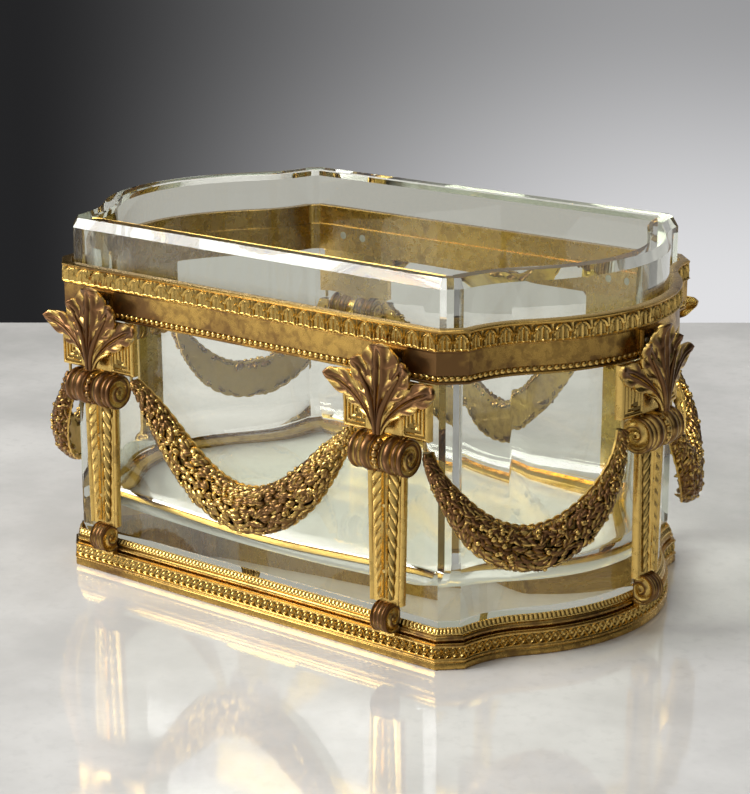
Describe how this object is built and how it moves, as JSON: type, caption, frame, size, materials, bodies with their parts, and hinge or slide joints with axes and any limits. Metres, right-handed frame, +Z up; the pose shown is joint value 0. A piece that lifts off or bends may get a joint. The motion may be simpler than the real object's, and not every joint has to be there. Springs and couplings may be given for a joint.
{
  "type": "glass casket box",
  "caption": "Open thick cut-crystal vessel with bowed ends, standing in a removable gilt-bronze mount with consoles, garlands and a moulded base and frieze.",
  "frame": {"origin": "centre of the footprint, on the surface that the base stands on", "axes": "+X along the length, -Y towards the front, +Z up"},
  "size_m": [0.3072, 0.2052, 0.1595],
  "materials": {
    "crystal": "thick polished cut crystal with bevelled rim and foot",
    "gilt_bronze": "fire-gilt, satin in the recesses and burnished on the edges",
    "plain_gilt": "plain gilt, matte",
    "bronze_ornament": "gilding rubbed to reddish-brown bronze on the raised parts",
    "bronze_garland": "chased, gilt in the hollows and brown on the raised parts",
    "steel_screws": "turned steel, slightly dulled",
    "brass_pins": "drawn brass wire, filed flush"
  },
  "bodies": {
    "mount": {"base_plinth": "gilt_bronze", "seat_ledge": "plain_gilt", "ring_band": "gilt_bronze", "base_torus": "gilt_bronze", "base_rim": "gilt_bronze", "frieze_frame": "gilt_bronze", "bead_row": "gilt_bronze", "leaf_band": "gilt_bronze", "top_lip": "gilt_bronze", "pilaster_front_left": "gilt_bronze", "pilaster_front_right": "gilt_bronze", "pilaster_right_end": "gilt_bronze", "pilaster_back_right": "gilt_bronze", "pilaster_back_left": "gilt_bronze", "pilaster_left_end": "gilt_bronze", "husk_front_left": "gilt_bronze", "husk_front_right": "gilt_bronze", "husk_right_end": "gilt_bronze", "husk_back_right": "gilt_bronze", "husk_back_left": "gilt_bronze", "husk_left_end": "gilt_bronze", "volute_front_left": "bronze_ornament", "volute_front_right": "bronze_ornament", "volute_right_end": "bronze_ornament", "volute_back_right": "bronze_ornament", "volute_back_left": "bronze_ornament", "volute_left_end": "bronze_ornament", "acanthus_front_left": "bronze_ornament", "acanthus_front_right": "bronze_ornament", "acanthus_right_end": "bronze_ornament", "acanthus_back_right": "bronze_ornament", "acanthus_back_left": "bronze_ornament", "acanthus_left_end": "bronze_ornament", "foot_scroll_front_left": "bronze_ornament", "foot_scroll_front_right": "bronze_ornament", "foot_scroll_right_end": "bronze_ornament", "foot_scroll_back_right": "bronze_ornament", "foot_scroll_back_left": "bronze_ornament", "foot_scroll_left_end": "bronze_ornament", "garland_front": "bronze_garland", "garland_back": "bronze_garland", "garland_front_right": "bronze_garland", "garland_back_right": "bronze_garland", "garland_back_left": "bronze_garland", "garland_front_left": "bronze_garland", "ledge_screws": "steel_screws", "foot_screws": "steel_screws", "foot_dowels": "brass_pins", "frieze_screws": "steel_screws", "acanthus_rivets": "brass_pins", "volute_rivets": "brass_pins", "husk_rivets": "brass_pins", "garland_pins": "brass_pins"},
    "vessel": {"glass_vessel": "crystal"}
  },
  "joints": [
    {"name": "vessel_lift", "type": "slide", "parent": "mount", "child": "vessel", "axis": [0, 0, 1], "range_m": [0, 0.16]}
  ]
}
